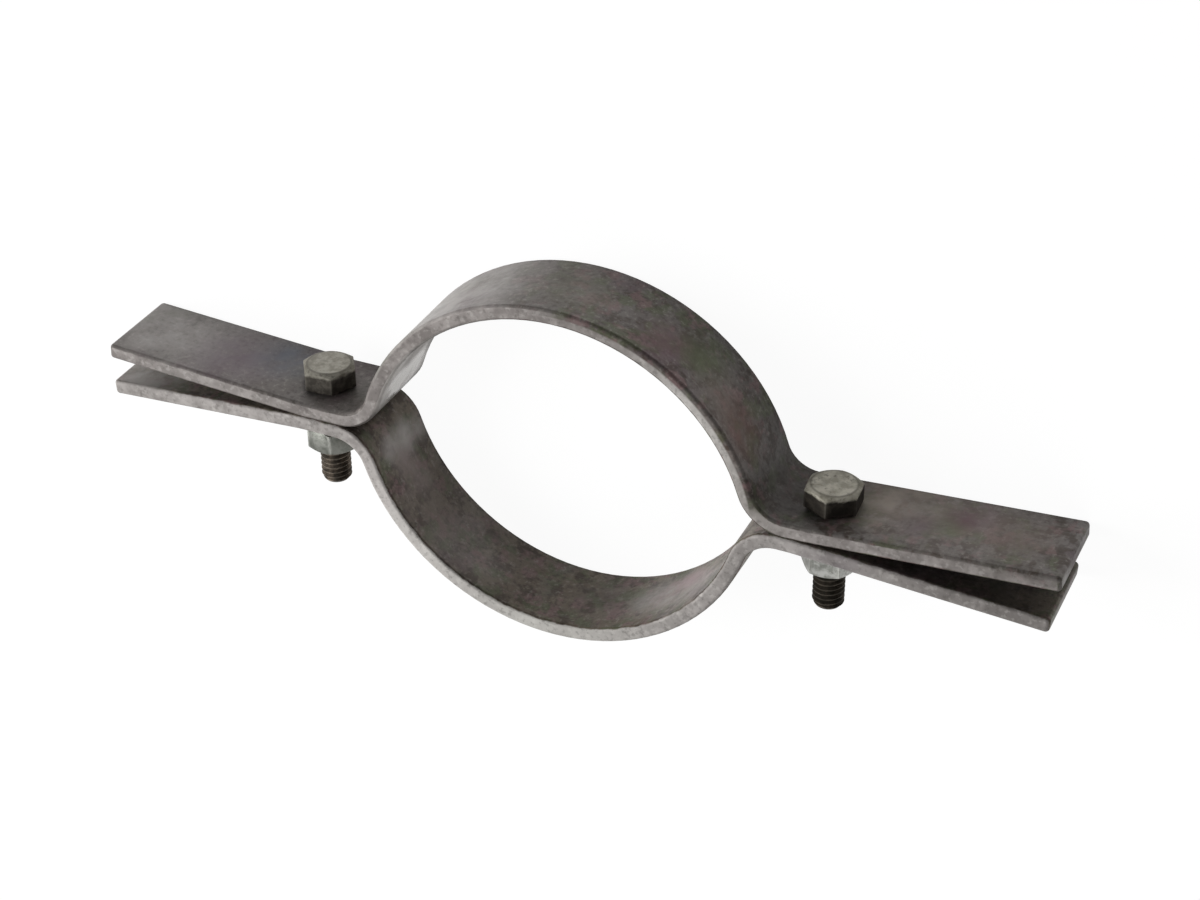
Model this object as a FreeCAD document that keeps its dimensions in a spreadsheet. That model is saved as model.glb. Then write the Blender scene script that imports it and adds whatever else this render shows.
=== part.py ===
import FreeCAD, Part
import Sketcher
import os
from math import atan2, cos, hypot, pi, radians, sin, sqrt, tan

# Riser clamp for a 3 1/2 inch pipe, 101.6 mm outside.
# Two like halves of flat steel bar, two hexagon bolts and two hexagon nuts, supplied not yet tightened.
# Frame: the clamp lies on its bar edges, so the pipe's axis is +Z and z = 0 is the floor.
# X runs along the ears, and Y along the bolts with their heads on the +Y side. The halves meet at y = 0.
doc = FreeCAD.newDocument("riser_clamp")

# Driving sizes, in millimetres and degrees
SIZES = {
    "pipe_radius": 50.8,
    "bar_width": 25.4,
    "bar_thickness": 4.0,
    "saddle_drop": 6.9,
    "bend_radius": 8.45,
    "left_flat": 9.4,
    "right_flat": 2.75,
    "splay_radius": 27.0,
    "upper_left_splay": 3.54,
    "upper_right_splay": 3.75,
    "lower_left_splay": 3.39,
    "lower_right_splay": 3.54,
    "upper_left_arm": 128.9,
    "upper_right_arm": 127.4,
    "lower_left_arm": 127.0,
    "lower_right_arm": 127.6,
    "left_bolt": 69.1,
    "right_bolt": 68.55,
    "hole_height": 13.4,
    "hole_diameter": 9.525,
    "lower_shift": -1.74,
    "corner_round": 1.1,
    "edge_round": 0.9,
    "bolt_diameter": 7.9375,
    "bolt_length": 29.0,
    "point_chamfer": 0.9,
    "head_flats": 12.9,
    "head_height": 5.95,
    "head_face_share": 0.87,
    "nut_flats": 12.7,
    "nut_height": 6.75,
    "nut_face_share": 0.95,
    "nut_countersink": 0.4,
    "thread_clearance": 0.05,
    "hex_chamfer_angle": 30.0,
    "left_nut_slack": 3.05,
    "right_nut_slack": 1.2,
    "left_head_turn": -56.4,
    "right_head_turn": -25.5,
    "left_nut_turn": -9.7,
    "right_nut_turn": -53.7,
}
sheet = doc.addObject("Spreadsheet::Sheet", "Sizes")
for row, (word, value) in enumerate(SIZES.items(), start=1):
    sheet.set("A%d" % row, word)
    sheet.set("B%d" % row, str(value))
    sheet.setAlias("B%d" % row, word)
doc.recompute()


def size(word):
    """Value of one cell of the sheet."""
    return float(getattr(sheet, word))


def vec(x, y, z=0.0):
    return FreeCAD.Vector(x, y, z)


# Geometry of the bent bar, seen along the pipe's axis, with the saddle's centre line at x = 0
def bend_centre():
    """Centre of the bend between saddle and ear, for the right side."""
    reach = size("pipe_radius") + size("bar_thickness") + size("bend_radius")
    y = size("bend_radius") + size("bar_thickness")
    x = sqrt(reach ** 2 - (y + size("saddle_drop")) ** 2)
    return x, y


def ear_face(distance, flat, splay):
    """Height of the ear's outer face above the mid plane, at a distance from the saddle's centre line."""
    start = bend_centre()[0] + flat
    radius = size("splay_radius") - size("bar_thickness") / 2
    end = start + radius * sin(radians(splay))
    if distance <= start:
        return size("bar_thickness")
    if distance <= end:
        return size("bar_thickness") + radius - sqrt(radius ** 2 - (distance - start) ** 2)
    lift = size("bar_thickness") + radius * (1 - cos(radians(splay)))
    return lift + (distance - end) * tan(radians(splay))


def origin_plane(body, role):
    return [item for item in body.Origin.OriginFeatures if item.Role == role][0]


def add_sketch(body, name, role):
    sketch = body.newObject("Sketcher::SketchObject", name)
    sketch.AttachmentSupport = [(origin_plane(body, role), "")]
    sketch.MapMode = "FlatFace"
    return sketch


def constrain(sketch, *values, name=None, expression=None):
    """Adds a constraint, and ties it to the sheet where an expression is given."""
    index = sketch.addConstraint(Sketcher.Constraint(*values))
    if name:
        sketch.renameConstraint(index, name)
        sketch.setExpression("Constraints." + name, expression)
    return index


# Half band: outline of the bent bar
def side_geometry(sign, flat, splay, arm):
    """Start geometry of one side of the outline: four pipe-side pieces, four outer pieces, and the end."""
    thick = size("bar_thickness")
    bend_x, bend_y = bend_centre()
    turn = atan2(bend_y + size("saddle_drop"), bend_x)
    phi = radians(splay)
    down = 1.5 * pi
    up = vec(0, 0, 1)

    def arc(x, y, radius, first, last):
        if sign > 0:
            return Part.ArcOfCircle(Part.Circle(vec(x, y), up, radius), first, last)
        return Part.ArcOfCircle(Part.Circle(vec(-x, y), up, radius), pi - last, pi - first)

    def line(start_x, start_y, end_x, end_y):
        return Part.LineSegment(vec(sign * start_x, start_y), vec(sign * end_x, end_y))

    splay_x, splay_y = bend_x + flat, size("splay_radius") + thick / 2
    pipe_radius, head_radius = size("splay_radius") + thick / 2, size("splay_radius") - thick / 2
    pipe_x, pipe_y = splay_x + pipe_radius * sin(phi), splay_y - pipe_radius * cos(phi)
    head_x, head_y = splay_x + head_radius * sin(phi), splay_y - head_radius * cos(phi)
    rise = (arm - pipe_x) * tan(phi)
    head_arm = arm - pipe_x + head_x
    pipe_side = [
        arc(bend_x, bend_y, size("bend_radius") + thick, pi + turn, down),
        line(bend_x, 0, splay_x, 0),
        arc(splay_x, splay_y, pipe_radius, down, down + phi),
        line(pipe_x, pipe_y, arm, pipe_y + rise),
    ]
    head_side = [
        arc(bend_x, bend_y, size("bend_radius"), pi + turn, down),
        line(bend_x, thick, splay_x, thick),
        arc(splay_x, splay_y, head_radius, down, down + phi),
        line(head_x, head_y, head_arm, head_y + rise),
    ]
    return pipe_side, head_side, line(arm, pipe_y + rise, head_arm, head_y + rise), turn


def band_outline(sketch, half):
    """Outline of the bar: saddle, two bends, two flats, two gentle splays and two straight ears."""
    up = vec(0, 0, 1)
    centre = vec(0, -size("saddle_drop"))
    turn = side_geometry(1, size("right_flat"), size(half + "_right_splay"), size(half + "_right_arm"))[3]
    outer_radius = size("pipe_radius") + size("bar_thickness")
    inner_circle = Part.Circle(centre, up, size("pipe_radius"))
    outer_circle = Part.Circle(centre, up, outer_radius)
    inner = sketch.addGeometry(Part.ArcOfCircle(inner_circle, turn, pi - turn))
    outer = sketch.addGeometry(Part.ArcOfCircle(outer_circle, turn, pi - turn))
    constrain(sketch, "PointOnObject", inner, 3, -2)
    constrain(sketch, "DistanceY", inner, 3, -1, 1, size("saddle_drop"),
              name="drop", expression="Sizes.saddle_drop")
    constrain(sketch, "Radius", inner, size("pipe_radius"),
              name="inner_radius", expression="Sizes.pipe_radius")
    constrain(sketch, "Coincident", outer, 3, inner, 3)
    constrain(sketch, "Radius", outer, outer_radius,
              name="outer_radius", expression="Sizes.pipe_radius + Sizes.bar_thickness")
    for sign, side in ((1, "right"), (-1, "left")):
        splay_word, arm_word = "%s_%s_splay" % (half, side), "%s_%s_arm" % (half, side)
        flat, splay, arm = size(side + "_flat"), size(splay_word), size(arm_word)
        pipe_side, head_side, end, _ = side_geometry(sign, flat, splay, arm)
        bend, level, gentle, ear = [sketch.addGeometry(item) for item in pipe_side]
        head_bend, head_level, head_gentle, head_ear = [sketch.addGeometry(item) for item in head_side]
        cap = sketch.addGeometry(end)
        # An arc on the left runs the other way, so its two ends swap
        near, far = (1, 2) if sign > 0 else (2, 1)
        constrain(sketch, "Tangent", inner, near, bend, near)
        constrain(sketch, "Radius", bend, size("bend_radius") + size("bar_thickness"),
                  name=side + "_bend", expression="Sizes.bend_radius + Sizes.bar_thickness")
        constrain(sketch, "Tangent", bend, far, level, 1)
        constrain(sketch, "PointOnObject", level, 1, -1)
        constrain(sketch, "PointOnObject", level, 2, -1)
        constrain(sketch, "DistanceX", level, near, level, far, flat,
                  name=side + "_flat", expression="Sizes.%s_flat" % side)
        constrain(sketch, "Tangent", level, 2, gentle, near)
        constrain(sketch, "Radius", gentle, size("splay_radius") + size("bar_thickness") / 2,
                  name=side + "_gentle", expression="Sizes.splay_radius + Sizes.bar_thickness / 2")
        constrain(sketch, "Tangent", gentle, far, ear, 1)
        first, last = ((-1, 1), (ear, 2)) if sign > 0 else ((ear, 2), (-1, 1))
        constrain(sketch, "DistanceX", *first, *last, arm,
                  name=side + "_arm", expression="Sizes." + arm_word)
        lean = "Sizes.%s * 1 deg" % splay_word
        angle, text = (radians(splay), lean) if sign > 0 else (pi - radians(splay), "180 deg - " + lean)
        constrain(sketch, "Angle", ear, angle, name=side + "_splay", expression=text)
        constrain(sketch, "Coincident", head_bend, 3, bend, 3)
        constrain(sketch, "Tangent", outer, near, head_bend, near)
        constrain(sketch, "Tangent", head_bend, far, head_level, 1)
        constrain(sketch, "Horizontal", head_level)
        constrain(sketch, "Coincident", head_gentle, 3, gentle, 3)
        constrain(sketch, "Tangent", head_level, 2, head_gentle, near)
        constrain(sketch, "Tangent", head_gentle, far, head_ear, 1)
        constrain(sketch, "Parallel", head_ear, ear)
        constrain(sketch, "Coincident", cap, 1, ear, 2)
        constrain(sketch, "Coincident", cap, 2, head_ear, 2)
        constrain(sketch, "Perpendicular", cap, ear)


def edge_names(shape, wanted):
    return ["Edge%d" % number for number, edge in enumerate(shape.Edges, start=1) if wanted(edge)]


def add_fillet(body, name, base, edges, expression):
    fillet = body.newObject("PartDesign::Fillet", name)
    fillet.Base = (base, edges)
    fillet.setExpression("Radius", expression)
    return fillet


def hole_distance(half, side):
    """Distance of an ear's hole from its own saddle's centre line, as a value and as an expression."""
    value, text = size(side + "_bolt"), "Sizes.%s_bolt" % side
    if half == "upper":
        return value, text
    if side == "left":
        return value + size("lower_shift"), text + " + Sizes.lower_shift"
    return value - size("lower_shift"), text + " - Sizes.lower_shift"


def make_band(half, height, height_expression):
    """One half of the clamp: bar bent round the pipe, a hole punched in each ear, rolled-round edges."""
    label = half + "_band"
    body = doc.addObject("PartDesign::Body", label)
    body.Label = label
    outline = add_sketch(body, label + "_outline", "XY_Plane")
    band_outline(outline, half)
    doc.recompute()
    pad = body.newObject("PartDesign::Pad", label + "_bar")
    pad.Profile = outline
    pad.setExpression("Length", "Sizes.bar_width")
    doc.recompute()
    solid_volume = pad.Shape.Volume

    holes = add_sketch(body, label + "_holes", "XZ_Plane")
    centres = {}
    for sign, side in ((-1, "left"), (1, "right")):
        distance, distance_text = hole_distance(half, side)
        centres[sign] = vec(sign * distance, 0, height)
        centre = vec(sign * distance, height)
        hole = holes.addGeometry(Part.Circle(centre, vec(0, 0, 1), size("hole_diameter") / 2))
        first, last = ((-1, 1), (hole, 3)) if sign > 0 else ((hole, 3), (-1, 1))
        constrain(holes, "DistanceX", *first, *last, distance,
                  name=side + "_offset", expression=distance_text)
        constrain(holes, "DistanceY", -1, 1, hole, 3, height,
                  name=side + "_height", expression=height_expression)
        constrain(holes, "Diameter", hole, size("hole_diameter"),
                  name=side + "_diameter", expression="Sizes.hole_diameter")
    doc.recompute()
    punch = body.newObject("PartDesign::Pocket", label + "_punch")
    punch.Profile = holes
    punch.Type = "ThroughAll"
    punch.Midplane = True
    doc.recompute()
    cut = solid_volume - punch.Shape.Volume
    expected = 2 * pi * (size("hole_diameter") / 2) ** 2 * size("bar_thickness")
    if not 0.95 * expected < cut < 1.1 * expected:
        raise RuntimeError("%s: the holes took %.1f, not about %.1f" % (label, cut, expected))

    # Sheared ends: the four corners across the thickness, then every long and end edge
    span = size("bar_thickness")

    def across_end(edge):
        return (abs(edge.Length - span) < 0.001 and edge.BoundBox.ZLength < 0.001
                and abs(edge.CenterOfMass.x) > abs(centres[1].x) + size("hole_diameter"))

    def at_hole(edge):
        middle = edge.BoundBox.Center
        hole = centres[1 if middle.x > 0 else -1]
        return hypot(middle.x - hole.x, middle.z - hole.z) < size("hole_diameter") / 2

    def worn_edge(edge):
        seam = edge.BoundBox.ZLength > size("bar_width") - 0.001
        return not seam and not across_end(edge) and not at_hole(edge)

    ends = edge_names(punch.Shape, across_end)
    corners = add_fillet(body, label + "_corners", punch, ends, "Sizes.corner_round")
    doc.recompute()
    long_edges = edge_names(corners.Shape, worn_edge)
    worn = add_fillet(body, label + "_worn_edges", corners, long_edges, "Sizes.edge_round")
    doc.recompute()
    body.Tip = worn
    return body


# Hexagon sketch shared by heads and nuts
def hexagon(sketch, flats_word):
    corner = size(flats_word) / sqrt(3)
    points = [vec(corner * cos(k * pi / 3), corner * sin(k * pi / 3)) for k in range(6)]
    sides = [sketch.addGeometry(Part.LineSegment(points[k], points[(k + 1) % 6])) for k in range(6)]
    ring = sketch.addGeometry(Part.Circle(vec(0, 0), vec(0, 0, 1), corner), True)
    constrain(sketch, "Coincident", ring, 3, -1, 1)
    for k in range(6):
        constrain(sketch, "Coincident", sides[k], 2, sides[(k + 1) % 6], 1)
        constrain(sketch, "PointOnObject", sides[k], 1, ring)
    for k in range(5):
        constrain(sketch, "Equal", sides[k], sides[k + 1])
    constrain(sketch, "PointOnObject", sides[0], 1, -1)
    constrain(sketch, "Radius", ring, corner, name="corner", expression="Sizes.%s / sqrt(3)" % flats_word)


def closed_lines(sketch, corners):
    lines = [sketch.addGeometry(Part.LineSegment(vec(*corners[k]), vec(*corners[(k + 1) % len(corners)])))
             for k in range(len(corners))]
    for k in range(len(corners)):
        constrain(sketch, "Coincident", lines[k], 2, lines[(k + 1) % len(corners)], 1)
    return lines


def chamfer_profile(sketch, name, piece, level_word, sign):
    """Triangle that a turn about the axis takes off the hexagon's corners at one face."""
    flats_word, share_word = piece + "_flats", piece + "_face_share"
    share, slope = size(share_word), tan(radians(size("hex_chamfer_angle")))
    face = size(flats_word) / 2 * share
    reach = size(flats_word)
    level = size(level_word) if level_word else 0.0
    drop = (reach - face) * slope
    lines = closed_lines(sketch, [(face, level), (reach, level), (reach, level - sign * drop)])
    level_text = "Sizes." + level_word if level_word else None
    constrain(sketch, "Horizontal", lines[0])
    constrain(sketch, "Vertical", lines[1])
    constrain(sketch, "DistanceX", -1, 1, lines[0], 1, face,
              name=name + "_face", expression="Sizes.%s / 2 * Sizes.%s" % (flats_word, share_word))
    constrain(sketch, "DistanceX", -1, 1, lines[0], 2, reach,
              name=name + "_reach", expression="Sizes.%s" % flats_word)
    if level_text:
        constrain(sketch, "DistanceY", -1, 1, lines[0], 1, level,
                  name=name + "_level", expression=level_text)
    else:
        constrain(sketch, "PointOnObject", lines[0], 1, -1)
    fall = "Sizes.%s * (1 - Sizes.%s / 2) * tan(Sizes.hex_chamfer_angle * 1 deg)" % (flats_word, share_word)
    ends = (lines[1], 2, lines[1], 1) if sign > 0 else (lines[1], 1, lines[1], 2)
    constrain(sketch, "DistanceY", *ends, drop, name=name + "_fall", expression=fall)


def turn_off(body, name, sketch, before):
    """Groove round the body's axis, which must take something away."""
    groove = body.newObject("PartDesign::Groove", name)
    groove.Profile = sketch
    groove.ReferenceAxis = (sketch, ["V_Axis"])
    groove.Angle = 360
    doc.recompute()
    if not groove.Shape.Volume < before - 0.1:
        raise RuntimeError(name + " took nothing away")
    return groove


def place(body, x_expression, y_expression, turn):
    """Stands the piece's own axis along +Y, at the holes' height, turned about that axis."""
    about_axis = FreeCAD.Rotation(vec(0, 0, 1), turn)
    onto_y = FreeCAD.Rotation(vec(1, 0, 0), -90)
    body.Placement = FreeCAD.Placement(vec(0, 0, 0), onto_y.multiply(about_axis))
    body.setExpression("Placement.Base.x", x_expression)
    body.setExpression("Placement.Base.y", y_expression)
    body.setExpression("Placement.Base.z", "Sizes.hole_height")


def make_bolt(label, x_expression, seat, turn_word):
    """Hexagon head bolt: head above the seat, shank below it, point chamfered."""
    body = doc.addObject("PartDesign::Body", label)
    body.Label = label
    flats = add_sketch(body, label + "_hexagon", "XY_Plane")
    hexagon(flats, "head_flats")
    doc.recompute()
    head = body.newObject("PartDesign::Pad", label + "_head")
    head.Profile = flats
    head.setExpression("Length", "Sizes.head_height")
    doc.recompute()
    corners = add_sketch(body, label + "_head_chamfer", "XZ_Plane")
    chamfer_profile(corners, "top", "head", "head_height", 1)
    doc.recompute()
    topped = turn_off(body, label + "_topped", corners, head.Shape.Volume)
    section = add_sketch(body, label + "_shank_section", "XY_Plane")
    circle = section.addGeometry(Part.Circle(vec(0, 0), vec(0, 0, 1), size("bolt_diameter") / 2))
    constrain(section, "Coincident", circle, 3, -1, 1)
    constrain(section, "Diameter", circle, size("bolt_diameter"),
              name="shank", expression="Sizes.bolt_diameter")
    doc.recompute()
    shank = body.newObject("PartDesign::Pad", label + "_shank")
    shank.Profile = section
    shank.Reversed = True
    shank.setExpression("Length", "Sizes.bolt_length")
    doc.recompute()
    if not shank.Shape.Volume > topped.Shape.Volume:
        raise RuntimeError(label + " has no shank")
    tip = edge_names(shank.Shape, lambda edge: abs(edge.BoundBox.ZMax + size("bolt_length")) < 0.001)
    point = body.newObject("PartDesign::Chamfer", label + "_point")
    point.Base = (shank, tip)
    point.setExpression("Size", "Sizes.point_chamfer")
    doc.recompute()
    body.Tip = point
    place(body, x_expression, seat, size(turn_word))
    return body


def make_nut(label, x_expression, y_expression, turn_word):
    """Hexagon nut, chamfered on both faces, its bore a running fit on the thread's outside."""
    body = doc.addObject("PartDesign::Body", label)
    body.Label = label
    flats = add_sketch(body, label + "_hexagon", "XY_Plane")
    hexagon(flats, "nut_flats")
    bore_text = "Sizes.bolt_diameter + 2 * Sizes.thread_clearance"
    bore_size = size("bolt_diameter") + 2 * size("thread_clearance")
    bore = flats.addGeometry(Part.Circle(vec(0, 0), vec(0, 0, 1), bore_size / 2))
    constrain(flats, "Coincident", bore, 3, -1, 1)
    constrain(flats, "Diameter", bore, bore_size, name="bore", expression=bore_text)
    doc.recompute()
    block = body.newObject("PartDesign::Pad", label + "_block")
    block.Profile = flats
    block.setExpression("Length", "Sizes.nut_height")
    doc.recompute()
    corners = add_sketch(body, label + "_chamfers", "XZ_Plane")
    chamfer_profile(corners, "upper", "nut", "nut_height", 1)
    chamfer_profile(corners, "lower", "nut", None, -1)
    doc.recompute()
    turned = turn_off(body, label + "_turned", corners, block.Shape.Volume)
    rims = edge_names(turned.Shape, lambda edge: isinstance(edge.Curve, Part.Circle)
                      and abs(edge.Curve.Radius - bore_size / 2) < 0.001 and edge.BoundBox.ZLength < 0.001)
    mouth = body.newObject("PartDesign::Chamfer", label + "_mouth")
    mouth.Base = (turned, rims)
    mouth.setExpression("Size", "Sizes.nut_countersink")
    doc.recompute()
    body.Tip = mouth
    place(body, x_expression, y_expression, size(turn_word))
    return body


# The two halves: the lower one is the same bar turned over about the X axis
upper_band = make_band("upper", size("hole_height"), "Sizes.hole_height")
turned_height = size("bar_width") - size("hole_height")
lower_band = make_band("lower", turned_height, "Sizes.bar_width - Sizes.hole_height")
lower_band.Placement = FreeCAD.Placement(vec(0, 0, 0), FreeCAD.Rotation(vec(1, 0, 0), 180))
lower_band.setExpression("Placement.Base.x", "Sizes.lower_shift")
lower_band.setExpression("Placement.Base.z", "Sizes.bar_width")

# The bolts stand in the middle of the holes, and a head rests on the highest part of the ear below it
def highest_face(half, side, flats_word):
    """Level of the ear's outer face under the hexagon's corner furthest from the saddle."""
    reach = hole_distance(half, side)[0] + size(flats_word) / sqrt(3)
    return ear_face(reach, size(side + "_flat"), size("%s_%s_splay" % (half, side)))


left_x, right_x = "-Sizes.left_bolt", "Sizes.right_bolt"
left_seat, right_seat = ["%.6f" % highest_face("upper", side, "head_flats") for side in ("left", "right")]
bolt_left = make_bolt("bolt_left", left_x, left_seat, "left_head_turn")
bolt_right = make_bolt("bolt_right", right_x, right_seat, "right_head_turn")
left_ear, right_ear = [highest_face("lower", side, "nut_flats") for side in ("left", "right")]
# Each nut still stands off its ear by its slack
nut_place = "-%.6f - Sizes.%s_nut_slack - Sizes.nut_height"
nut_left = make_nut("nut_left", left_x, nut_place % (left_ear, "left"), "left_nut_turn")
nut_right = make_nut("nut_right", right_x, nut_place % (right_ear, "right"), "right_nut_turn")
doc.recompute()

# Every feature must have computed, and every piece must be one valid solid
for item in doc.Objects:
    if "Invalid" in item.State or "Error" in item.State:
        raise RuntimeError("%s failed: %s" % (item.Label, item.State))
PIECES = [upper_band, lower_band, bolt_left, bolt_right, nut_left, nut_right]
for piece in PIECES:
    if piece.Shape.isNull() or not piece.Shape.isValid() or len(piece.Shape.Solids) != 1:
        raise RuntimeError(piece.Label + " is not one valid solid")

os.makedirs("parts", exist_ok=True)
for piece in PIECES:
    piece.Shape.exportStep("parts/%s.step" % piece.Label)
    box = piece.Shape.BoundBox
    print("%s volume %.1f mm3, x %.2f to %.2f, y %.2f to %.2f, z %.2f to %.2f" % (
        piece.Label, piece.Shape.Volume, box.XMin, box.XMax, box.YMin, box.YMax, box.ZMin, box.ZMax))
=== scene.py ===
from math import atan2, cos, pi, radians, sin, sqrt, tan

import bmesh
import bpy
from mathutils import Matrix, Vector


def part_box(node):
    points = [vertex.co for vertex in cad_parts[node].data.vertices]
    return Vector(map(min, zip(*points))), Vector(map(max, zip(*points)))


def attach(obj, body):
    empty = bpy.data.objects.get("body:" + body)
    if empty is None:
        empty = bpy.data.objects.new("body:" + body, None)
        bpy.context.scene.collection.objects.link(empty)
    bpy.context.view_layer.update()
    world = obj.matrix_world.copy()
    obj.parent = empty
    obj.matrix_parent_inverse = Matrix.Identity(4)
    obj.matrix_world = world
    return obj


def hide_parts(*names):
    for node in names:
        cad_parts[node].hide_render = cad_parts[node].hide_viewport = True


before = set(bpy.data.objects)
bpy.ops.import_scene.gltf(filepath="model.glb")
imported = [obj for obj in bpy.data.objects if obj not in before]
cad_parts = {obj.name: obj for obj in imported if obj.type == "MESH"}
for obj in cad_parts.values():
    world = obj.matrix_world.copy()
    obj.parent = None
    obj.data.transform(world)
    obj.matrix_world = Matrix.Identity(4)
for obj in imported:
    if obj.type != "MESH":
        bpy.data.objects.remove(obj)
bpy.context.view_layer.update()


# ---------------------------------------------------------------------------------- bands
# Each half of the clamp is one length of hot-rolled flat bar, 25.4 mm wide and 4 mm thick, bent
# cold to the pipe's round with an ear at each end, and left in its mill scale with nothing over
# it. The bars' own solids stay as they are: their shape is right, and they get this finish.

BAR_MIDDLE = 0.0254 / 2
# a colour mix's sockets share their names with others, so they are told by number
SHARE, UNDER, OVER, MIXED = 0, 6, 7, 2


def linear(hex_colour):
    """An sRGB hex colour as the linear values that a shader takes."""
    parts = [int(hex_colour[i:i + 2], 16) / 255 for i in (1, 3, 5)]
    return tuple(p / 12.92 if p <= 0.04045 else ((p + 0.055) / 1.055) ** 2.4 for p in parts) + (1,)


def add(tree, kind, inputs, **settings):
    """Adds a node with its settings, and its inputs as values, hex colours or links."""
    made = tree.nodes.new(kind)
    for name, value in settings.items():
        setattr(made, name, value)
    for socket, value in inputs.items():
        if isinstance(value, bpy.types.NodeSocket):
            tree.links.new(value, made.inputs[socket])
        elif isinstance(value, str):
            made.inputs[socket].default_value = linear(value)
        else:
            made.inputs[socket].default_value = value
    return made


def start_finish(name):
    """A new material, its node tree and shader, and the piece's own coordinates, whole and apart."""
    finish = bpy.data.materials.new(name)
    finish.use_nodes = True
    tree = finish.node_tree
    place = add(tree, "ShaderNodeTexCoord", {}).outputs["Object"]
    apart = add(tree, "ShaderNodeSeparateXYZ", {"Vector": place}).outputs
    return finish, tree, tree.nodes["Principled BSDF"], place, apart


def patches(tree, place, size_mm, low, high, least=0.0, most=1.0, shift=0.0, stretch=(1, 1, 1)):
    """Soft random patches of one real size: a noise's low to high, drawn as least to most."""
    moved = add(tree, "ShaderNodeMapping", {"Vector": place, "Location": (shift, -shift, 2 * shift),
                                            "Scale": stretch})
    cloud = add(tree, "ShaderNodeTexNoise", {"Vector": moved.outputs["Vector"], "Scale": 1000 / size_mm,
                                             "Detail": 3.0, "Roughness": 0.6})
    return add(tree, "ShaderNodeMapRange", {"Value": cloud.outputs[0], "From Min": low, "From Max": high,
                                            "To Min": least, "To Max": most},
               interpolation_type="SMOOTHSTEP").outputs["Result"]


def mottle(tree, place, colour, tint, size_mm, low, high, share=1.0, shift=0.0, stretch=(1, 1, 1)):
    """Lays a tint over a colour in such patches."""
    where = patches(tree, place, size_mm, low, high, 0.0, share, shift, stretch)
    return add(tree, "ShaderNodeMix", {SHARE: where, UNDER: colour, OVER: tint},
               data_type="RGBA").outputs[MIXED]


def spot(tree, place, centre_mm, reach_mm, share):
    """How much of one place's mark is here, with a ragged rim that fades out at its reach."""
    centre = tuple(c / 1000 for c in centre_mm)
    away = add(tree, "ShaderNodeVectorMath", {0: place, 1: centre}, operation="DISTANCE")
    near = add(tree, "ShaderNodeMapRange", {"Value": away.outputs["Value"], "From Min": reach_mm / 1000,
                                            "From Max": 0.0, "To Min": 0.0, "To Max": share},
               interpolation_type="SMOOTHSTEP").outputs["Result"]
    ragged = patches(tree, place, 7, 0.3, 0.65, 0.45, 1.0)
    return add(tree, "ShaderNodeMath", {0: near, 1: ragged}, operation="MULTIPLY",
               use_clamp=True).outputs[0]


def tint_and_painted_light(tree, place, colour, centre_mm, reach_mm, tint, share):
    """Lays a tint over a colour round one place, for a stain, wear or a heat tint, and for painted light
    and painted shade.
    """
    here = spot(tree, place, centre_mm, reach_mm, share)
    return add(tree, "ShaderNodeMix", {SHARE: here, UNDER: colour, OVER: tint},
               data_type="RGBA").outputs[MIXED]


def from_axis(tree, place, axis, across):
    """How far a place is from a straight axis, measured in the two directions across it."""
    flat = add(tree, "ShaderNodeVectorMath", {0: place, 1: across}, operation="MULTIPLY").outputs["Vector"]
    return add(tree, "ShaderNodeVectorMath", {0: flat, 1: axis}, operation="DISTANCE").outputs["Value"]


def scale_faces(tree, place, apart, shift, colours, coarse_from, marks):
    """The colour of the bar's broad faces: an oxide that is patchy in colour and fine in grain, and over
    it the places where it is rubbed pale or tinted by heat, and the pale and dark places that are painted
    light and painted shade."""
    # heat colours, in soft patches 15 to 30 mm wide
    colour = mottle(tree, place, *colours, 30, 0.40, 0.60, shift=shift)
    colour = mottle(tree, place, colour, "#65565A", 19, 0.52, 0.72, 0.8, shift + 0.3)
    colour = mottle(tree, place, colour, "#64645A", 17, 0.54, 0.74, 0.8, shift + 0.7)
    # right of coarse_from the scale is coarse, broken up in browns and greens 5 to 7 mm across
    coarse = add(tree, "ShaderNodeMapRange", {"Value": apart["X"], "From Min": coarse_from - 0.03,
                                              "From Max": coarse_from + 0.03},
                 interpolation_type="SMOOTHSTEP").outputs["Result"]
    for tint, size_mm, low, share, seed in (("#433830", 5, 0.48, 0.80, 0.9),
                                            ("#5A5F48", 7, 0.50, 0.75, 1.3),
                                            ("#7C6565", 5, 0.52, 0.75, 1.9)):
        broken = patches(tree, place, size_mm, low, low + 0.12, 0.0, share, shift + seed)
        broken = add(tree, "ShaderNodeMath", {0: broken, 1: coarse}, operation="MULTIPLY").outputs[0]
        colour = add(tree, "ShaderNodeMix", {SHARE: broken, UNDER: colour, OVER: tint},
                     data_type="RGBA").outputs[MIXED]
    # faint lines from the rolls, which run along the bar and so keep their height
    colour = mottle(tree, place, colour, "#8A8683", 16, 0.50, 0.70, 0.18, shift, (1, 1, 14))
    # the scale's crystals and pits are about 0.1 mm: drawn 1.3 mm wide so that they show at all
    colour = mottle(tree, place, colour, "#3A342F", 1.3, 0.52, 0.68, 0.5, shift)
    colour = mottle(tree, place, colour, "#9A948F", 1.3, 0.46, 0.30, 0.4, shift)
    for mark in marks:
        colour = tint_and_painted_light(tree, place, colour, *mark)
    return colour


def scale_sides(tree, place, shift, colours, marks):
    """The colour of the bar's two narrow sides, where the scale is thin and rubbed through."""
    colour = mottle(tree, place, *colours, 5, 0.36, 0.64, shift=shift)
    for mark in marks:
        colour = tint_and_painted_light(tree, place, colour, *mark)
    # dark pits and bright scratches, as fine as the faces' crystals and drawn as coarse
    colour = mottle(tree, place, colour, "#5A5652", 1.3, 0.52, 0.68, 0.36, shift)
    return mottle(tree, place, colour, "#E2DFDA", 1.6, 0.47, 0.33, 0.20, shift + 0.2)


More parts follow.
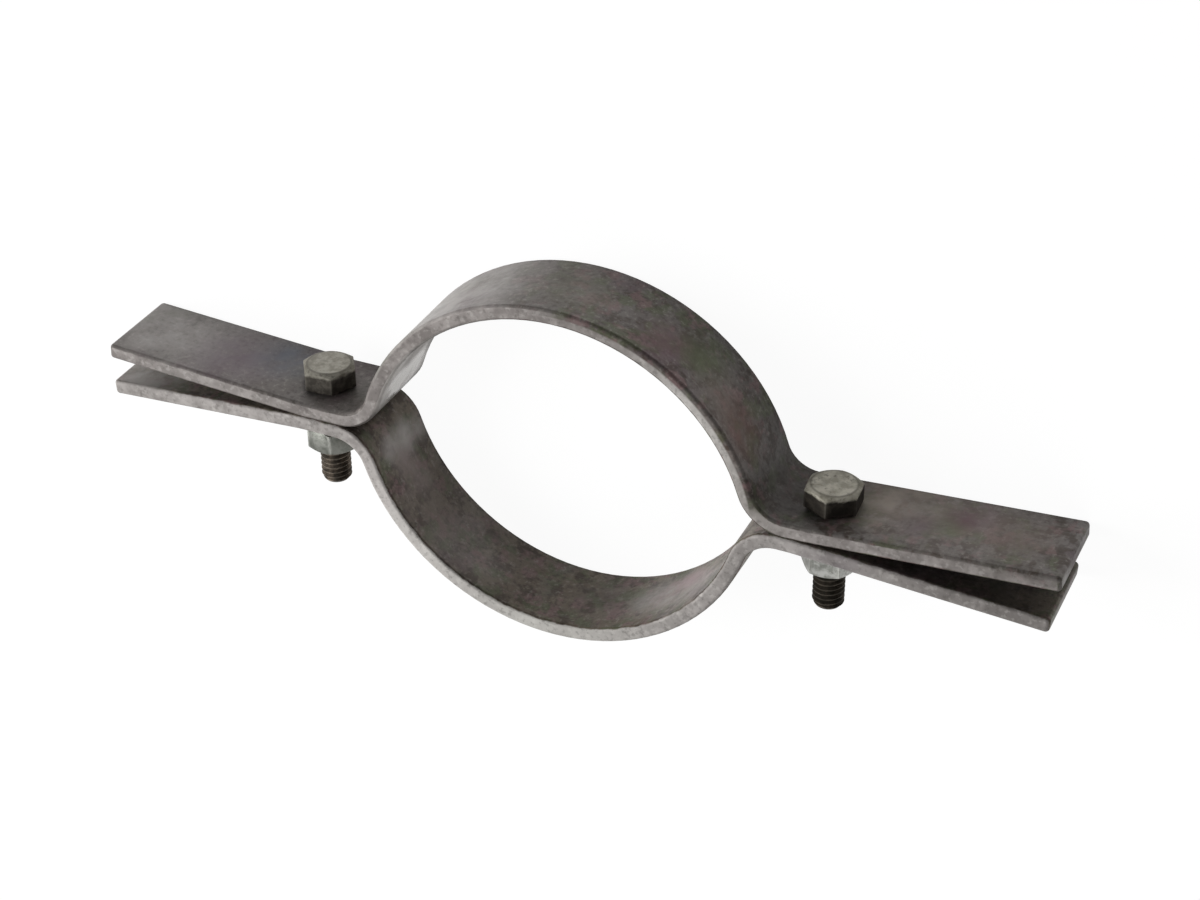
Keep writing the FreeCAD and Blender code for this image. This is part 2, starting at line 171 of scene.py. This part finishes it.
def mill_scale(name, shift, face_colours, side_colours, side_start, side_blend, coarse_from,
               face_marks, side_marks, polished_marks=()):
    """Hot-rolled mild steel in its mill scale: a thin oxide, dark and half metallic, patchy in
    colour and gloss, with fine pits, faint lines along the rolling, and paler rubbed sides."""
    oxide_metallic, polished_metallic, polished_roughness = 0.45, 0.95, 0.14
    finish, tree, shader, place, apart = start_finish(name)
    face = scale_faces(tree, place, apart, shift, face_colours, coarse_from, face_marks)
    side = scale_sides(tree, place, shift, side_colours, side_marks)
    # each side starts at a ragged line on the worn edge
    up = add(tree, "ShaderNodeMath", {0: apart["Z"], 1: BAR_MIDDLE}, operation="SUBTRACT").outputs[0]
    off_middle = add(tree, "ShaderNodeMath", {0: up}, operation="ABSOLUTE").outputs[0]
    ragged = patches(tree, place, 3.5, 0.3, 0.7, -side_blend / 2, side_blend / 2, shift)
    off_middle = add(tree, "ShaderNodeMath", {0: off_middle, 1: ragged}, operation="ADD").outputs[0]
    on_side = add(tree, "ShaderNodeMapRange", {"Value": off_middle, "From Min": side_start,
                                               "From Max": side_start + side_blend},
                  interpolation_type="SMOOTHSTEP").outputs["Result"]
    # the sides take their paler colour all over, but for the outer part of the upper saddle's side right
    # of the saddle's top and above the ears, which keeps the faces' darker colour as painted shade,
    # standing in for the shade on a rounder outer edge
    off_saddle_axis = from_axis(tree, place, (0, -0.0069, 0), (1, 1, 0))
    inner = add(tree, "ShaderNodeMapRange", {"Value": off_saddle_axis, "From Min": 0.0535,
                                             "From Max": 0.0530}).outputs["Result"]
    left_of_top = add(tree, "ShaderNodeMapRange", {"Value": apart["X"], "From Min": 0.010,
                                                   "From Max": -0.012},
                      interpolation_type="SMOOTHSTEP").outputs["Result"]
    down_at_ears = add(tree, "ShaderNodeMapRange", {"Value": apart["Y"], "From Min": 0.008,
                                                    "From Max": 0.004},
                       interpolation_type="SMOOTHSTEP").outputs["Result"]
    rubbed = inner
    for other in (left_of_top, down_at_ears):
        rubbed = add(tree, "ShaderNodeMath", {0: rubbed, 1: other}, operation="MAXIMUM").outputs[0]
    on_side = add(tree, "ShaderNodeMath", {0: on_side, 1: rubbed}, operation="MULTIPLY").outputs[0]
    colour = add(tree, "ShaderNodeMix", {SHARE: on_side, UNDER: face, OVER: side},
                 data_type="RGBA").outputs[MIXED]
    # the faces keep the rolls' dull gloss, and the sides and worn edges are rubbed matt
    matt = add(tree, "ShaderNodeMapRange", {"Value": off_middle, "From Min": 0.0116, "From Max": 0.0121,
                                            "To Min": 0.0, "To Max": 0.3},
               interpolation_type="SMOOTHSTEP").outputs["Result"]
    roughness = patches(tree, place, 12, 0.3, 0.7, 0.40, 0.56, shift + 0.5)
    roughness = add(tree, "ShaderNodeMath", {0: roughness, 1: matt}, operation="ADD").outputs[0]
    # a polished stretch of the inner face mirrors the floor when it is seen at a low angle
    metallic = oxide_metallic
    shader.inputs["Metallic"].default_value = metallic
    for mark in polished_marks:
        here = spot(tree, place, *mark)
        here = add(tree, "ShaderNodeMath", {0: here, 1: inner}, operation="MULTIPLY").outputs[0]
        colour = add(tree, "ShaderNodeMix", {SHARE: here, UNDER: colour, OVER: "#CAC7C3"},
                     data_type="RGBA").outputs[MIXED]
        roughness = add(tree, "ShaderNodeMapRange", {"Value": here, "To Min": roughness,
                                                     "To Max": polished_roughness}).outputs["Result"]
        metallic = add(tree, "ShaderNodeMapRange", {"Value": here, "To Min": metallic,
                                                    "To Max": polished_metallic}).outputs["Result"]
        tree.links.new(metallic, shader.inputs["Metallic"])
    tree.links.new(colour, shader.inputs["Base Color"])
    tree.links.new(roughness, shader.inputs["Roughness"])
    # the slight waves that bending leaves, and rolled-in pits, which are drawn coarse too
    waves = add(tree, "ShaderNodeBump", {"Strength": 0.5, "Distance": 0.0003,
                                         "Height": patches(tree, place, 10, 0.2, 0.8, shift=shift)})
    pits = add(tree, "ShaderNodeBump", {"Strength": 0.4, "Distance": 0.00008,
                                        "Height": patches(tree, place, 1.1, 0.2, 0.8, shift=shift),
                                        "Normal": waves.outputs["Normal"]})
    tree.links.new(pits.outputs["Normal"], shader.inputs["Normal"])
    return finish


# each mark: its centre and its reach in mm, its tint and its share
upper_finish = mill_scale(
    "hot_rolled_mill_scale_upper", shift=3.1, face_colours=("#645E5A", "#716C69"),
    side_colours=("#857F7C", "#A09A97"), side_start=0.01262, side_blend=0.00006, coarse_from=-0.01,
    face_marks=(
        # pale: the left ear's end. Painted light: a painted highlight on the left leg's inner face, and
        # painted light on the round of its inner edge, which turns from the lamp, and on the saddle's left
        # shoulder
        ((-122, 8, 12), 34, "#A9A5A2", 0.55), ((-48, 9, 14), 12, "#A9A5A2", 0.8),
        ((-43, 19, 12), 15, "#A5A09C", 0.9), ((-38, 22, 23), 9, "#D2CECA", 1.5),
        ((-42, 16, 23), 9, "#D2CECA", 1.5), ((-44, 10, 23), 9, "#D2CECA", 1.5),
        ((-34, 36, 16), 40, "#BDB9B5", 0.7),
        # pale brown: the right ear and the saddle's right shoulder; painted shade: the dark in the right
        # bend
        ((82, 6, 6), 20, "#B4A89E", 0.9), ((98, 6, 10), 26, "#A0968F", 0.35),
        ((41, 30, 17), 12, "#8F7F78", 0.5), ((56, 2, 12), 22, "#35302C", 0.7),
        # heat tints: the left ear, the saddle, the right ear
        ((-96, 5, 14), 18, "#6B5F66", 0.9), ((-84, 4, 8), 14, "#62666F", 0.9),
        ((27, 41, 17), 11, "#6B5056", 0.8), ((34, 36, 12), 11, "#5F664B", 0.8),
        ((46, 22, 18), 12, "#72584F", 0.9), ((2, 48, 14), 14, "#5F5C4C", 0.6),
        ((98, 6, 13), 8, "#696E54", 0.8), ((101, 6, 8), 9, "#70545C", 0.9),
        ((90, 5, 15), 8, "#66545C", 0.7), ((114, 6, 12), 14, "#7E7068", 0.7)),
    side_marks=(
        # pale: the right shoulder, less so down its leg, and the left ear; darker: the left leg
        ((40, 26, 25), 34, "#CCC9C5", 1.0), ((52, 8, 25), 16, "#9C9792", 0.8),
        ((-50, 13, 25), 18, "#68635F", 0.15), ((-100, 5, 25), 30, "#B4B0AC", 0.3)),
    polished_marks=(
        # a stretch across the inside of the left leg: centre, reach and share, in one colour
        ((-47.2, 11.5, 7), 9, 1.7), ((-47.4, 11, 13), 9, 1.7), ((-47.2, 11.5, 18), 8, 1.7)))
lower_finish = mill_scale(
    "hot_rolled_mill_scale_lower", shift=7.7, face_colours=("#685E52", "#766D61"),
    side_colours=("#989390", "#B2ADAA"), side_start=0.01220, side_blend=0.0003, coarse_from=-0.15,
    face_marks=(
        # painted light: the left ear's end, where it comes out of the upper ear's shadow; pale: the left
        # bend across its width, and on into the saddle
        ((-120, -6, 22), 20, "#A9A5A2", 0.9), ((-50, -8.7, 17), 6, "#B5B0AD", 0.9),
        ((-49.8, -9.4, 10), 7, "#B5B0AD", 1.0), ((-49.6, -10, 3), 6, "#B5B0AD", 0.8),
        ((-48, -14, 14), 7, "#968A88", 0.8), ((-45.5, -19, 12), 9, "#8C7F7C", 0.7),
        # painted light: the lit patch inside the saddle's right side; pale: a faint smear on its left
        ((23, -38, 12), 11, "#A39D9A", 0.9), ((34, -31, 14), 18, "#B2ABA9", 0.6),
        ((31, -33, 8), 8, "#9C8488", 0.7), ((-33, -33, 12), 26, "#A9A5A2", 0.3),
        # painted shade: the saddle's bottom and left, and the right ear between the two halves
        ((8, -43, 12), 14, "#3E3934", 0.5), ((-40, -28, 12), 14, "#5C5048", 0.5),
        ((100, -3, 14), 48, "#1E1A18", 0.8)),
    side_marks=(
        # pale: the saddle, most of all on its left; darker: the right ear and leg
        ((-10, -46, 25), 60, "#C6C4BF", 0.9), ((-38, -30, 25), 30, "#D2CFCB", 1.0),
        ((-48, -16, 25), 11, "#C6C1BE", 1.0), ((112, -5, 25), 44, "#736E6B", 0.9),
        ((50, -12, 25), 18, "#837F7B", 0.3), ((72, -4, 25), 15, "#7C7577", 0.8)))
for node, finish in (("upper_band", upper_finish), ("lower_band", lower_finish)):
    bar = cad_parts[node]
    bar.data.materials.clear()
    bar.data.materials.append(finish)


# ---------------------------------------------------------------------------------- bolts
# Two hexagon bolts, 7.94 mm with an 18 to the inch thread, cold-headed from plain steel wire,
# the thread rolled, and left uncoated. They stand in the ears' holes with their heads on the
# upper ears. Each thread is a true right-hand helix, cut back by the chamfer at the bolt's end.

PITCH = 0.0254 / 18
BOLT_RADIUS = 0.0079375 / 2
BOLT_LENGTH = 0.029
HEAD_HEIGHT = 0.00595
# five eighths of the height of the thread's sharp V
ROOT_DEPTH = 0.541 * PITCH


def helical_surface(bm, low, high, grow=0.0, least=0.0):
    """A rolled thread's surface about the Y axis, cut square at both ends. Its phase starts at
    the bolt head's seat, y = 0, so a nut's thread made with the same call meshes with it."""
    # one pitch of the thread: crest, flank, rounded root, flank, as shares of pitch and depth
    profile = ((0.0, 0.0), (0.125, 0.0), (0.28, 0.5), (0.4375, 1.0), (0.5625, 1.08), (0.6875, 1.0),
               (0.845, 0.5))
    turns = range(int(low / PITCH) - 2, int(high / PITCH) + 2)
    rows = [((turn + along) * PITCH, max(BOLT_RADIUS - deep * ROOT_DEPTH + grow, least))
            for turn in turns for along, deep in profile]
    corners = [bm.verts.new((radius, y, 0.0)) for y, radius in rows]
    line = [bm.edges.new(pair) for pair in zip(corners, corners[1:])]
    # a right-hand helix about Y climbs one pitch in a full turn
    steps = 64
    bmesh.ops.spin(bm, geom=corners + line, cent=(0, 0, 0), axis=(0, 1, 0), dvec=(0, PITCH / steps, 0),
                   angle=2 * pi, steps=steps, use_merge=False)
    bmesh.ops.remove_doubles(bm, verts=bm.verts, dist=2e-6)
    for level, way in ((low, -1), (high, 1)):
        bmesh.ops.bisect_plane(bm, geom=bm.verts[:] + bm.edges[:] + bm.faces[:], dist=1e-7,
                               plane_co=(0, level, 0), plane_no=(0, way, 0), clear_outer=True)


def radius_of(corner):
    """A corner's distance from the Y axis."""
    return sqrt(corner.co.x ** 2 + corner.co.z ** 2)


def set_radius(corner, radius):
    """Moves a corner straight out from the Y axis to a radius."""
    grown = radius / radius_of(corner)
    corner.co.x *= grown
    corner.co.z *= grown


def open_ring(bm, level):
    """The open edges that lie at one height."""
    return [e for e in bm.edges if e.is_boundary and all(abs(v.co.y - level) < 1e-6 for v in e.verts)]


def carry(bm, ring, place):
    """Draws a ring of edges on to a new place, and gives the new ring."""
    made = bmesh.ops.extrude_edge_only(bm, edges=ring)["geom"]
    fresh = {g for g in made if isinstance(g, bmesh.types.BMVert)}
    for corner in fresh:
        corner.co = place(corner.co)
    return [e for e in bm.edges if e.verts[0] in fresh and e.verts[1] in fresh]


def to_circle(radius, level):
    """A ring's way on to a circle."""
    def place(at):
        out = Vector((at.x, 0, at.z)).normalized() * radius
        return Vector((out.x, level, out.z))
    return place


def to_hexagon(flats, turn, face_radius, face_level, way):
    """A ring's way on to the hexagon's outline, where a 30 degree cone from the round face meets it."""
    def place(at):
        bearing = atan2(at.z, at.x)
        reach = flats / 2 / cos((bearing - turn) % (pi / 3) - pi / 6)
        fall = (reach - face_radius) * tan(radians(30))
        return Vector((reach * cos(bearing), face_level - way * fall, reach * sin(bearing)))
    return place


def to_level(level):
    """A ring's way straight along the axis."""
    return lambda at: Vector((at.x, level, at.z))


def face_circle(bm, radius, level, turn, cap):
    """A round face at one height, with corners where the hexagon's will be."""
    where = (Matrix.Translation((0, level, 0)) @ Matrix.Rotation(-turn, 4, "Y")
             @ Matrix.Rotation(pi / 2, 4, "X"))
    made = bmesh.ops.create_circle(bm, cap_ends=cap, segments=96, radius=radius, matrix=where)
    corners = set(made["verts"])
    return [e for e in bm.edges if e.verts[0] in corners and e.verts[1] in corners]


def ease_edges(bm):
    """Rounds the hexagon's own edges by 0.12 mm, as heading and tumbling leave them."""
    def outside_thread(edge):
        return all(radius_of(v) > BOLT_RADIUS + 0.001 for v in edge.verts)

    sharp = [e for e in bm.edges
             if len(e.link_faces) == 2 and e.calc_face_angle(0) > radians(25) and outside_thread(e)]
    bmesh.ops.bevel(bm, geom=sharp, offset=0.00012, offset_type="OFFSET", segments=2, profile=0.5,
                    affect="EDGES", clamp_overlap=True, material=-1)


def finished(bm, name, at, finish):
    """Turns a mesh in the making into a piece in its place."""
    bmesh.ops.recalc_face_normals(bm, faces=bm.faces)
    bmesh.ops.translate(bm, verts=bm.verts, vec=at)
    mesh = bpy.data.meshes.new(name)
    bm.to_mesh(mesh)
    bm.free()
    mesh.shade_smooth()
    mesh.set_sharp_from_angle(angle=radians(28))
    mesh.materials.append(finish)
    piece = bpy.data.objects.new(name, mesh)
    bpy.context.scene.collection.objects.link(piece)
    return piece


def bolt_mesh(turn):
    """A hexagon bolt about the Y axis, its head's seat at y = 0 and its end below."""
    flats, washer_height, neck_round = 0.0129, 0.0003, 0.0003
    thread_top, run_out_length, chamfer, end_inset = -0.0066, 0.0012, 0.0009, 0.0014
    bm = bmesh.new()
    helical_surface(bm, -BOLT_LENGTH, thread_top)
    for corner in bm.verts:
        end_cone = BOLT_RADIUS - chamfer + (corner.co.y + BOLT_LENGTH)
        run_out = BOLT_RADIUS - ROOT_DEPTH * min(1, max(0, (thread_top - corner.co.y) / run_out_length))
        set_radius(corner, max(min(radius_of(corner), end_cone), run_out))
    # the flat end, and the plain shank up to the small round under the head
    end = carry(bm, open_ring(bm, -BOLT_LENGTH), to_circle(BOLT_RADIUS - end_inset, -BOLT_LENGTH))
    bmesh.ops.contextual_create(bm, geom=end)
    carry(bm, open_ring(bm, thread_top), to_circle(BOLT_RADIUS, -neck_round))
    # the head, from its round top face down to the washer face under it
    top_radius, washer_radius = 0.87 * flats / 2, 0.95 * flats / 2
    ring = face_circle(bm, top_radius, HEAD_HEIGHT, turn, True)
    for way in (to_hexagon(flats, turn, top_radius, HEAD_HEIGHT, 1), to_level(washer_height),
                to_circle(washer_radius, washer_height), to_circle(washer_radius, 0.0),
                to_circle(BOLT_RADIUS + neck_round, 0.0)):
        ring = carry(bm, ring, way)
    ease_edges(bm)
    bmesh.ops.bridge_loops(bm, edges=open_ring(bm, -neck_round) + open_ring(bm, 0.0))
    return bm


def plain_steel(name, seat, top_colours, side_colours, thread_colours):
    """Uncoated cold-headed steel with a film of oil: the head's top is worn grey, its sides keep
    the black of the heading, and the thread is dark brown where oil and dirt stay."""
    finish, tree, shader, place, apart = start_finish(name)
    off_axis = from_axis(tree, place, (seat.x, 0, seat.z), (1, 0, 1))
    top = mottle(tree, place, *top_colours, 2.6, 0.35, 0.65, shift=1.7)
    top = mottle(tree, place, top, "#5C584F", 0.9, 0.55, 0.72, 0.6, 0.4)
    # a darker line round the head's top face, where the chamfer starts
    off_rim = add(tree, "ShaderNodeMath", {0: off_axis, 1: 0.0056}, operation="SUBTRACT").outputs[0]
    off_rim = add(tree, "ShaderNodeMath", {0: off_rim}, operation="ABSOLUTE").outputs[0]
    dirt = add(tree, "ShaderNodeMapRange", {"Value": off_rim, "From Min": 0.0005, "From Max": 0.0,
                                            "To Min": 0.0, "To Max": 0.45},
               interpolation_type="SMOOTHSTEP").outputs["Result"]
    top = add(tree, "ShaderNodeMix", {SHARE: dirt, UNDER: top, OVER: "#55524A"},
              data_type="RGBA").outputs[MIXED]
    # the hexagon's own edges, worn a little paler than its sides
    sides = mottle(tree, place, *side_colours, 2.6, 0.40, 0.66, shift=1.7)
    worn = add(tree, "ShaderNodeMapRange", {"Value": off_axis, "From Min": 0.0071, "From Max": 0.0074,
                                            "To Min": 0.0, "To Max": 0.15}).outputs["Result"]
    sides = add(tree, "ShaderNodeMix", {SHARE: worn, UNDER: sides, OVER: "#A09C92"},
                data_type="RGBA").outputs[MIXED]
    # the black of the sides ends at a ragged line on the chamfer
    ragged = patches(tree, place, 1.6, 0.2, 0.8, -0.0003, 0.0003)
    level = add(tree, "ShaderNodeMath", {0: apart["Y"], 1: ragged}, operation="ADD").outputs[0]
    on_top = add(tree, "ShaderNodeMapRange", {"Value": level, "From Min": seat.y + 0.0045,
                                              "From Max": seat.y + 0.0051}).outputs["Result"]
    head = add(tree, "ShaderNodeMix", {SHARE: on_top, UNDER: sides, OVER: top},
               data_type="RGBA").outputs[MIXED]
    shank = mottle(tree, place, *thread_colours, 3.0, 0.4, 0.62, shift=2.9)
    on_head = add(tree, "ShaderNodeMapRange", {"Value": apart["Y"], "From Min": seat.y - 0.0002,
                                               "From Max": seat.y}).outputs["Result"]
    colour = add(tree, "ShaderNodeMix", {SHARE: on_head, UNDER: shank, OVER: head},
                 data_type="RGBA").outputs[MIXED]
    tree.links.new(colour, shader.inputs["Base Color"])
    shader.inputs["Metallic"].default_value = 0.75
    # an even half gloss of oil, and the chamfer matt with dirt
    matt = add(tree, "ShaderNodeMapRange", {"Value": off_axis, "From Min": 0.0055, "From Max": 0.0058,
                                            "To Min": 0.0, "To Max": 0.25}).outputs["Result"]
    roughness = patches(tree, place, 2.6, 0.3, 0.7, 0.50, 0.66, 1.7)
    roughness = add(tree, "ShaderNodeMath", {0: roughness, 1: matt}, operation="ADD").outputs[0]
    tree.links.new(roughness, shader.inputs["Roughness"])
    # the small dents of heading and handling
    dents = add(tree, "ShaderNodeBump", {"Strength": 0.5, "Distance": 0.00012,
                                         "Height": patches(tree, place, 1.4, 0.2, 0.8)})
    tree.links.new(dents.outputs["Normal"], shader.inputs["Normal"])
    return finish


def bolt_place(node):
    """Where the bolt's axis meets the underside of its head."""
    low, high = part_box(node)
    return Vector(((low[0] + high[0]) / 2, high[1] - HEAD_HEIGHT, (low[2] + high[2]) / 2))


bolt_seats = {side: bolt_place("bolt_" + side) for side in ("left", "right")}
for side, turn, *colours in (
        ("left", radians(56.4), ("#807C72", "#A7A49A"), ("#45413B", "#69645D"), ("#4F4942", "#776D62")),
        ("right", radians(25.5), ("#9E9A8D", "#CAC6BA"), ("#2F2B26", "#4A453E"), ("#3A362F", "#524B42"))):
    bolt_finish = plain_steel("plain_oiled_bolt_steel_" + side, bolt_seats[side], *colours)
    bolt = finished(bolt_mesh(turn), "threaded_bolt_" + side, bolt_seats[side], bolt_finish)
    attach(bolt, "upper_half")
    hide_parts("bolt_" + side)


# ---------------------------------------------------------------------------------- nuts
# Two 12.7 mm hexagon nuts, 6.75 mm thick, cold-formed, tapped and zinc-plated. Neither is run up
# to its ear yet. Each thread is the bolt's own helix with 0.06 mm of play, so the two mesh.

def nut_mesh(turn, low, high):
    """A hexagon nut about the Y axis, both faces chamfered, its thread matched to the bolt's."""
    flats, play, bore_radius, countersink = 0.0127, 0.00006, 0.00333, BOLT_RADIUS + 0.0004
    bm = bmesh.new()
    helical_surface(bm, low, high, grow=play, least=bore_radius)
    for corner in bm.verts:
        inward = min(corner.co.y - low, high - corner.co.y)
        set_radius(corner, max(radius_of(corner), countersink - inward))
    face_radius = 0.95 * flats / 2
    ring = face_circle(bm, face_radius, low, turn, False)
    for way in (to_hexagon(flats, turn, face_radius, low, -1),
                to_hexagon(flats, turn, face_radius, high, 1), to_circle(face_radius, high)):
        ring = carry(bm, ring, way)
    ease_edges(bm)
    for level in (low, high):
        bmesh.ops.bridge_loops(bm, edges=open_ring(bm, level))
    return bm


def zinc_plate(name, seat, dark, pale):
    """Bright zinc plate gone slightly dull: pale, faintly green-grey, with small bright facets."""
    finish, tree, shader, place, _ = start_finish(name)
    colour = mottle(tree, place, dark, pale, 2.2, 0.38, 0.64, shift=4.2)
    colour = mottle(tree, place, colour, "#6F6E66", 0.8, 0.58, 0.74, 0.4, 5.0)
    # the hexagon's corners, worn bright and painted brighter as the highlight that a rounder corner
    # catches
    off_axis = from_axis(tree, place, (seat.x, 0, seat.z), (1, 0, 1))
    worn = add(tree, "ShaderNodeMapRange", {"Value": off_axis, "From Min": 0.0070, "From Max": 0.0073,
                                            "To Min": 0.0, "To Max": 0.45}).outputs["Result"]
    colour = add(tree, "ShaderNodeMix", {SHARE: worn, UNDER: colour, OVER: "#C6C6C0"},
                 data_type="RGBA").outputs[MIXED]
    tree.links.new(colour, shader.inputs["Base Color"])
    shader.inputs["Metallic"].default_value = 0.6
    tree.links.new(patches(tree, place, 2.2, 0.3, 0.7, 0.36, 0.50, 4.2), shader.inputs["Roughness"])
    facets = add(tree, "ShaderNodeBump", {"Strength": 0.25, "Distance": 0.00012,
                                          "Height": patches(tree, place, 1.6, 0.2, 0.8, shift=6.1)})
    tree.links.new(facets.outputs["Normal"], shader.inputs["Normal"])
    return finish


for side, turn, *colours in (("left", radians(9.7), "#787A73", "#8C8D87"),
                             ("right", radians(53.7), "#8C8D87", "#C2C2BE")):
    low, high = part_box("nut_" + side)
    seat = bolt_seats[side]
    nut_finish = zinc_plate("zinc_plated_nut_steel_" + side, seat, *colours)
    bm = nut_mesh(turn, low[1] - seat.y, high[1] - seat.y)
    nut = finished(bm, "threaded_nut_" + side, seat, nut_finish)
    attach(nut, side + "_nut")
    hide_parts("nut_" + side)


# ---------------------------------------------------------------------------------- studio
# A white paper floor and an even sky, a large soft lamp on the left and a weak one on the far
# side of the lower half. Seen straight or in the metal, the floor and the sky are near white.

def brightness(tree, always, straight_more, gloss_more):
    """A strength that is higher for the camera's own rays, and for rays off a gloss or through glass."""
    path = add(tree, "ShaderNodeLightPath", {}).outputs
    glossed = add(tree, "ShaderNodeMath", {0: path["Is Glossy Ray"], 1: path["Is Transmission Ray"]},
                  operation="MAXIMUM").outputs[0]
    level = add(tree, "ShaderNodeMath", {0: path["Is Camera Ray"], 1: straight_more, 2: always},
                operation="MULTIPLY_ADD").outputs[0]
    return add(tree, "ShaderNodeMath", {0: glossed, 1: gloss_more, 2: level},
               operation="MULTIPLY_ADD").outputs[0]


# the floor is a hair under the part, so that the two surfaces never fall into one
floor_mesh = bpy.data.meshes.new("floor")
bm = bmesh.new()
bmesh.ops.create_grid(bm, x_segments=1, y_segments=1, size=6.0)
bmesh.ops.translate(bm, verts=bm.verts, vec=(0, 0, -0.00002))
bm.to_mesh(floor_mesh)
bm.free()
floor = bpy.data.objects.new("floor", floor_mesh)
bpy.context.scene.collection.objects.link(floor)

# matt white paper: straight from the camera it mostly glows, so that it stays white under a faint
# shadow, and to the part it is plain paper, brighter only in the metal's gloss
paper = bpy.data.materials.new("white_paper_floor")
paper.use_nodes = True
tree = paper.node_tree
tree.nodes.remove(tree.nodes["Principled BSDF"])
straight = add(tree, "ShaderNodeLightPath", {}).outputs["Is Camera Ray"]
tone = add(tree, "ShaderNodeMix", {SHARE: straight, UNDER: "#E0E0E0", OVER: "#505050"},
           data_type="RGBA").outputs[MIXED]
matt = add(tree, "ShaderNodeBsdfDiffuse", {"Color": tone})
glow = add(tree, "ShaderNodeEmission", {"Color": (1, 1, 1, 1),
                                        "Strength": brightness(tree, 0.0, 0.945, 0.46)})
both = add(tree, "ShaderNodeAddShader", {0: matt.outputs[0], 1: glow.outputs[0]})
tree.links.new(both.outputs[0], tree.nodes["Material Output"].inputs["Surface"])
floor_mesh.materials.append(paper)

sky = bpy.data.worlds.new("studio")
sky.use_nodes = True
tree = sky.node_tree
tree.links.new(brightness(tree, 0.1, 0.86, 0.1), tree.nodes["Background"].inputs["Strength"])
tree.nodes["Background"].inputs["Color"].default_value = (1, 1, 1, 1)
bpy.context.scene.world = sky

for name, at, watts in (("key", (-0.90, 0.0, 0.63), 14.5), ("fill", (0.42, -0.73, 0.71), 4.0)):
    lamp = bpy.data.lights.new(name, "AREA")
    lamp.size = 0.8
    lamp.energy = watts
    holder = bpy.data.objects.new(name, lamp)
    holder.location = at
    to_part = Vector((0, 0, BAR_MIDDLE)) - Vector(at)
    holder.rotation_euler = to_part.to_track_quat("-Z", "Y").to_euler()
    bpy.context.scene.collection.objects.link(holder)


# ---------------------------------------------------------------------------------- camera
# The photograph's own viewpoint, worked out from the object's outline in it: from above,
# 49 degrees up, with the object's long side running down to the right.

lens = bpy.data.cameras.new("photograph")
lens.lens = 72.867
lens.sensor_width = 36.0
viewpoint = bpy.data.objects.new("photograph", lens)
viewpoint.location = (0.217835, 0.331748, 0.470138)
viewpoint.rotation_euler = (radians(-33.2372), radians(24.5538), radians(-0.3078))
bpy.context.scene.collection.objects.link(viewpoint)
bpy.context.scene.camera = viewpoint
bpy.context.scene.view_settings.view_transform = "Standard"
